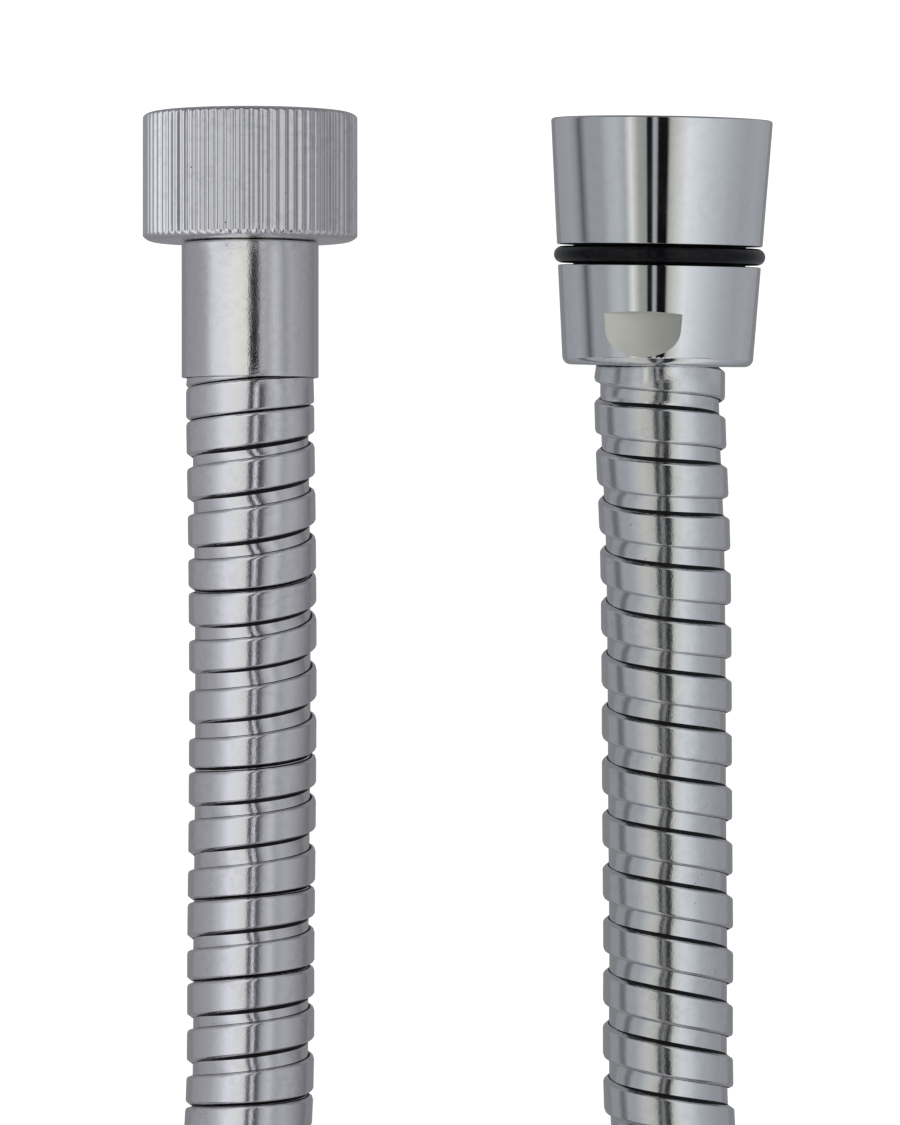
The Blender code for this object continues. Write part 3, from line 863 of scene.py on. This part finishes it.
def evenFrames(points, spacing):
    # Middle, sideways and upward directions at even distances along the route
    middles = [points[0]]
    left = spacing
    for a, b in zip(points, points[1:]):
        run = (b - a).length
        while left <= run:
            middles.append(a.lerp(b, left / run))
            left += spacing
        left -= run
    middles.append(points[-1])
    table = []
    for index, middle in enumerate(middles):
        ahead = middles[min(index + 1, len(middles) - 1)] - middles[max(index - 1, 0)]
        ahead.normalize()
        side = Vector((0, 0, 1)).cross(ahead).normalized()
        table.append((middle, side, ahead.cross(side)))
    return table


def bendAlong(bm, points, spacing):
    table = evenFrames(points, spacing)
    for vert in bm.verts:
        place = vert.co.z / spacing
        index = min(max(int(place), 0), len(table) - 2)
        share = place - index
        (middle, side, up), (nextMiddle, nextSide, nextUp) = table[index], table[index + 1]
        sideways = side.lerp(nextSide, share) * vert.co.x + up.lerp(nextUp, share) * vert.co.y
        vert.co = middle.lerp(nextMiddle, share) + sideways


def routeLength(points):
    return sum((b - a).length for a, b in zip(points, points[1:]))


def evenShading(piece):
    # Broad faces keep their own direction, and narrow ones take the turn between them
    modifier = piece.modifiers.new("even_shading", "WEIGHTED_NORMAL")
    modifier.weight = 100
    modifier.keep_sharp = True


def makeHose(values, points, windings, changeAfter):
    whole = routeLength(points)
    first, second = windings
    joined = bmesh.new()
    for winding, line, length in (
        (first, points, changeAfter),
        (second, points[::-1], whole - changeAfter),
    ):
        bm = windTube(values, winding, length)
        bendAlong(bm, line, values["alongSpacing"])
        mesh = newMesh("hose_part", bm)
        joined.from_mesh(mesh)
        bpy.data.meshes.remove(mesh)
    bmesh.ops.recalc_face_normals(joined, faces=joined.faces)
    mesh = newMesh("hose_armour", joined)
    mesh.shade_smooth()
    mesh.materials.append(finishes["hose_chrome"])
    mesh.materials.append(finishes["seam_shadow"])
    wound = addObject("hose_armour", mesh)
    evenShading(wound)
    return wound


coilEntry = coilPoints(hoseRoute)[0]
coilStart = min(range(len(route)), key=lambda index: (route[index] - coilEntry).length)
changeAfter = routeLength(route[: coilStart + 1]) + hoseRoute["handChange"]
hose = makeHose(armour, route, (knurledWinding, conicalWinding), changeAfter)
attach(hose, "hose")
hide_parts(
    "knurled_leg_armour", "knurled_leg_liner", "conical_leg_armour", "conical_leg_liner", "hose_coil"
)
print("hose wound:", len(hose.data.polygons), "faces,", round(routeLength(route), 4), "m")


# Turned pieces


def roundedProfile(corners, arcSteps=6):
    # Points of a closed profile from corners of (radius, height, rounding)
    points = []
    for index, (radius, height, rounding) in enumerate(corners):
        corner = Vector((radius, height))
        if rounding == 0:
            points.append(corner)
            continue
        before = (Vector(corners[index - 1][:2]) - corner).normalized()
        after = (Vector(corners[(index + 1) % len(corners)][:2]) - corner).normalized()
        halfAngle = before.angle(after) / 2
        reach = rounding / math.tan(halfAngle)
        centre = corner + (before + after).normalized() * rounding / math.sin(halfAngle)
        first = corner + before * reach - centre
        turn = first.angle_signed(corner + after * reach - centre)
        for step in range(arcSteps + 1):
            points.append(centre + Matrix.Rotation(-turn * step / arcSteps, 2) @ first)
    return points


def spinRing(profile, steps):
    bm = bmesh.new()
    loop = [bm.verts.new((point[0], 0, point[1])) for point in profile]
    edges = [bm.edges.new(pair) for pair in zip(loop, loop[1:] + loop[:1])]
    bmesh.ops.spin(
        bm, geom=loop + edges, cent=(0, 0, 0), axis=(0, 0, 1), dvec=(0, 0, 0),
        angle=math.tau, steps=steps, use_merge=True,
    )
    bmesh.ops.recalc_face_normals(bm, faces=bm.faces)
    return bm


def addPiece(name, bm, space, material, body, crease=32.0):
    for face in bm.faces:
        face.smooth = True
    for edge in bm.edges:
        if len(edge.link_faces) == 2 and edge.calc_face_angle() > math.radians(crease):
            edge.smooth = False
    bmesh.ops.transform(bm, matrix=space, verts=bm.verts)
    mesh = newMesh(name, bm)
    mesh.materials.append(material)
    piece = addObject(name, mesh)
    evenShading(piece)
    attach(piece, body)
    return piece


# Thread in the bores, a half-inch pipe thread

threadValues = {
    "minor": 0.009315,
    "major": 0.01048,
    "pitch": 0.001814,
    "leadIn": 0.0011,
    "reach": 0.0082,  # how deep the thread runs
    "rowsInPitch": 9,
    "flank": 0.36,  # width of a groove's flank, as a share of the pitch
    "grooveFill": 1.12,  # more than one gives the groove a flat bottom
    "slack": 1e-6,
}


def boreHeights(values):
    count = round(values["reach"] / values["pitch"] * values["rowsInPitch"])
    return [-values["reach"] * (count - row) / count for row in range(count)]


def boreProfile(values, webHole, webBack, socketDepth):
    # From the web's hole up to the mouth
    return [
        (webHole, -webBack, 0),
        (webHole, -socketDepth, 0),
        (values["minor"], -socketDepth, 0),
        *((values["minor"], height, 0) for height in boreHeights(values)),
        (values["major"], 0, 0),
    ]


def cutThread(bm, values):
    depth = values["major"] - values["minor"]
    slack = values["slack"]
    for vert in bm.verts:
        radius = vert.co.xy.length
        height = vert.co.z
        if abs(radius - values["minor"]) > slack or not -values["reach"] - slack <= height <= -slack:
            continue
        share = (height / values["pitch"] - math.atan2(vert.co.y, vert.co.x) / math.tau) % 1.0
        groove = smoothStep(values["grooveFill"] - abs(share - 0.5) / values["flank"])
        groove *= smoothStep((height + values["reach"]) / values["pitch"])  # runs out at its deep end
        lead = 1 + height / values["leadIn"]
        wanted = values["minor"] + depth * min(max(groove, lead), 1.0)
        vert.co.xy *= wanted / radius


# Knurled nut: straight knurl all round, rounded at its mouth and back

knurledNut = {
    "radius": 0.011525,
    "length": 0.0138,
    "blankOver": 0.0003,
    "mouthRound": 0.0013,
    "backRound": 0.0015,
    "webHole": 0.0064,
    "socketDepth": 0.0115,
    "ridges": 70,
    "stepsPerRidge": 6,
    "knurlDepth": 0.0003,
    "rootShare": 0.36,  # half width of a root as a share of the pitch
    "ridgeLean": 0.000030,  # how unevenly the ridges' tops lean
    "boreClear": 0.0001,  # past the thread, so that the knurl leaves the bore alone
    "nudge": 1e-4,  # keeps a point on a ridge's border in that ridge
    "seed": 5,
}


def makeKnurledNut(values, thread):
    blank = values["radius"] + values["blankOver"]
    corners = [
        (blank, 0, values["mouthRound"]),
        (blank, -values["length"], values["backRound"]),
        *boreProfile(thread, values["webHole"], values["length"], values["socketDepth"]),
    ]
    bm = spinRing(roundedProfile(corners, 12), values["ridges"] * values["stepsPerRidge"])
    cutThread(bm, thread)
    chance = random.Random(values["seed"])
    leans = [chance.uniform(-1, 1) * values["ridgeLean"] for ridge in range(values["ridges"])]
    for vert in bm.verts:
        radius = vert.co.xy.length
        if radius < thread["major"] + values["boreClear"]:
            continue
        place = math.atan2(vert.co.y, vert.co.x) / math.tau * values["ridges"] % values["ridges"]
        ridge = int(place + values["nudge"]) % values["ridges"]
        share = place - int(place + values["nudge"])
        root = 1 - smoothStep(min(share, 1 - share) / values["rootShare"])
        lean = leans[ridge] * (share - 0.5) * 2 * (1 - root)
        wanted = values["radius"] - abs(leans[ridge]) * (1 - root) - values["knurlDepth"] * root + lean
        if wanted < radius:
            vert.co.xy *= wanted / radius
    return bm


knurledPiece = addPiece(
    "knurled_nut_body", makeKnurledNut(knurledNut, threadValues), knurledSpace,
    finishes["satin_chrome_knurled"], "knurled_nut",
)
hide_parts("knurled_nut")
print("knurled nut:", len(knurledPiece.data.polygons), "faces")


# Conical nut: a cone with a groove for its O-ring and two wrench flats milled at its back

conicalNut = {
    "mouthRadius": 0.0119,
    "backRadius": 0.0102,
    "length": 0.0264,
    "mouthRound": 0.0003,
    "backRound": 0.0009,
    "rimRound": 0.00015,
    "grooveRadius": 0.00925,
    "grooveMiddle": 0.0146,
    "grooveWidth": 0.0022,
    "socketDepth": 0.0102,
    "web": 0.0023,
    "webHole": 0.0064,
    "skirtRadius": 0.00775,
    "flatDistance": 0.00968,
    "flatStart": 0.0209,
    "flatSlope": 17.0,  # degrees
    "flatTurn": -11.5,  # degrees from straight up
    "flatLean": -2.0,  # degrees that a flat rises towards the back at first
    "flatRun": 0.0018,
    "runOut": (0.0055, 30.0, 8),  # radius, last slope in degrees and facets of the arc after it
    "cutReach": 0.002,  # how far under a flat the faces are still divided
    "grooveClear": 0.0003,  # how far behind the O-ring's groove the milling starts
    "shadeMargin": (0.00002, 0.0001),  # past the groove's walls, and below its bottom
    "levelSlack": 1e-7,
    "overSlack": 1e-8,
    "steps": 240,
}


def flatProfile(values):
    # (distance behind the flat's start, distance from the axis): down the step, over the flat, up its run-out
    rise = values["mouthRadius"]
    slope = math.radians(values["flatSlope"])
    lean = math.radians(values["flatLean"])
    radius, last, facets = values["runOut"]
    behind, height = values["flatRun"] * math.cos(lean), values["flatRun"] * math.sin(lean)
    profile = [(-rise * math.tan(slope), rise), (0.0, 0.0), (behind, height)]
    turn = (math.radians(last) - lean) / facets
    for facet in range(facets):
        heading = lean + (facet + 0.5) * turn
        chord = 2 * radius * math.sin(turn / 2)
        behind += chord * math.cos(heading)
        height += chord * math.sin(heading)
        profile.append((behind, height))
    return [(behind, values["flatDistance"] + height) for behind, height in profile]


def millFlat(bm, values, degrees):
    angle = math.radians(degrees)
    outward = Vector((math.cos(angle), math.sin(angle), 0))
    start = Vector((0, 0, -values["flatStart"]))
    profile = flatProfile(values)
    slack = values["levelSlack"]
    top = -values["grooveMiddle"] - values["grooveWidth"] / 2 - values["grooveClear"]

    def heightAt(place):
        behind = start.z - place.z
        for (near, low), (far, high) in zip(profile, profile[1:]):
            if behind <= far:
                break
        return low + (high - low) * (behind - near) / (far - near)

    def cut(point, normal):
        near = [
            face for face in bm.faces
            if face.calc_center_median().dot(outward) > values["flatDistance"] - values["cutReach"]
            and face.calc_center_median().z < top
        ]
        verts = {vert for face in near for vert in face.verts}
        edges = {edge for face in near for edge in face.edges}
        parts = [*verts, *edges, *near]
        bmesh.ops.bisect_plane(bm, geom=parts, dist=slack, plane_co=point, plane_no=normal)

    places = [outward * height + start - Vector((0, 0, behind)) for behind, height in profile]
    for place in places[1:]:
        cut(place, Vector((0, 0, 1)))
    for place, following in zip(places, places[1:]):
        cut(place, (following - place).cross(outward.cross(Vector((0, 0, 1)))).normalized())
    milled = set()
    for face in bm.faces:
        middle = face.calc_center_median()
        if middle.z < top and middle.dot(outward) > heightAt(middle) + values["overSlack"]:
            milled.add(face)
            face.material_index = 2
    for vert in {vert for face in milled for vert in face.verts}:
        over = vert.co.dot(outward) - heightAt(vert.co)
        if over > 0:
            vert.co -= outward * over
    for edge in {edge for face in milled for edge in face.edges}:
        onCorner = all(abs(vert.co.z - start.z) < slack for vert in edge.verts)
        edge.smooth = not onCorner and all(face in milled for face in edge.link_faces)


def makeConicalNut(values, thread):
    taper = values["backRadius"] - values["mouthRadius"]

    def radiusAt(depth):
        return values["mouthRadius"] + taper * depth / values["length"]

    grooveTop = values["grooveMiddle"] - values["grooveWidth"] / 2
    grooveBottom = values["grooveMiddle"] + values["grooveWidth"] / 2
    webBack = values["socketDepth"] + values["web"]
    corners = [
        (values["mouthRadius"], 0, values["mouthRound"]),
        (radiusAt(grooveTop), -grooveTop, values["rimRound"]),
        (values["grooveRadius"], -grooveTop, 0),
        (values["grooveRadius"], -grooveBottom, 0),
        (radiusAt(grooveBottom), -grooveBottom, values["rimRound"]),
        (values["backRadius"], -values["length"], values["backRound"]),
        (values["skirtRadius"], -values["length"], 0),
        (values["skirtRadius"], -webBack, 0),
        *boreProfile(thread, values["webHole"], webBack, values["socketDepth"]),
    ]
    bm = spinRing(roundedProfile(corners), values["steps"])
    cutThread(bm, thread)
    for side in (0, 180):
        millFlat(bm, values, values["flatTurn"] - 90 + side)
    return bm


def darkenGroove(piece, values):
    # Painted shade: the groove behind the O-ring, where shadow falls, gets the near-black second material
    margin, below = values["shadeMargin"]
    toEnd = conicalSpace.inverted()
    for face in piece.data.polygons:
        middle = toEnd @ face.center
        inGroove = abs(middle.z + values["grooveMiddle"]) < values["grooveWidth"] / 2 + margin
        if inGroove and values["grooveRadius"] - below < middle.xy.length:
            face.material_index = 1


conicalPiece = addPiece(
    "conical_nut_body", makeConicalNut(conicalNut, threadValues), conicalSpace,
    finishes["polished_chrome"], "conical_nut",
)
conicalPiece.data.materials.append(finishes["groove_painted_shade"])
conicalPiece.data.materials.append(finishes["milled_chrome"])
darkenGroove(conicalPiece, conicalNut)
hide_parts("conical_nut")
print("conical nut:", len(conicalPiece.data.polygons), "faces")


# O-ring in the conical nut's groove

oRing = {
    "outerRadius": 0.01135,
    "section": 0.0018,
    "depth": 0.0146,
    "sides": 28,
    "steps": 180,
}


def makeORing(values):
    half = values["section"] / 2
    middle = values["outerRadius"] - half
    angles = [math.tau * side / values["sides"] for side in range(values["sides"])]
    profile = [(middle + half * math.cos(a), -values["depth"] + half * math.sin(a)) for a in angles]
    return spinRing(profile, values["steps"])


ringPiece = addPiece(
    "conical_nut_seal", makeORing(oRing), conicalSpace,
    finishes["black_rubber"], "conical_nut",
)
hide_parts("conical_nut_o_ring")


# Ferrules: thin drawn caps over the ends of the armour

ferruleValues = {
    "radius": 0.00735,
    "boreRadius": 0.0070,
    "holeRadius": 0.0048,
    "frontWall": 0.0008,
    "frontRound": 0.0003,
    "lipRound": 0.00012,
    "steps": 160,
}
ferrules = {
    "knurled_end_ferrule": {
        "space": knurledSpace, "front": 0.01386, "back": 0.0284,
        "finish": "satin_chrome_drawn", "slot": "satin_chrome",
    },
    "conical_end_ferrule": {
        "space": conicalSpace, "front": 0.0128, "back": 0.0258,
        "finish": "polished_chrome", "slot": "polished_chrome",
    },
}


def makeFerrule(values, front, back):
    corners = [
        (values["radius"], -front, values["frontRound"]),
        (values["radius"], -back, values["lipRound"]),
        (values["boreRadius"], -back, 0),
        (values["boreRadius"], -front - values["frontWall"], 0),
        (values["holeRadius"], -front - values["frontWall"], 0),
        (values["holeRadius"], -front, 0),
    ]
    return spinRing(roundedProfile(corners), values["steps"])


for node, ferrule in ferrules.items():
    cap = addPiece(
        node.replace("ferrule", "cap"), makeFerrule(ferruleValues, ferrule["front"], ferrule["back"]),
        ferrule["space"], finishes[ferrule["finish"]], "hose",
    )
    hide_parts(node)
print("ferrules and O-ring made")


# The inner pieces stay as they are in the CAD, with their own finishes

for end in ("knurled", "conical"):
    for node, finish in ((end + "_end_tail", "brass"), (end + "_end_washer", "black_rubber")):
        slots = bpy.data.objects[node].material_slots
        for slot in slots:
            slot.material = finishes[finish]
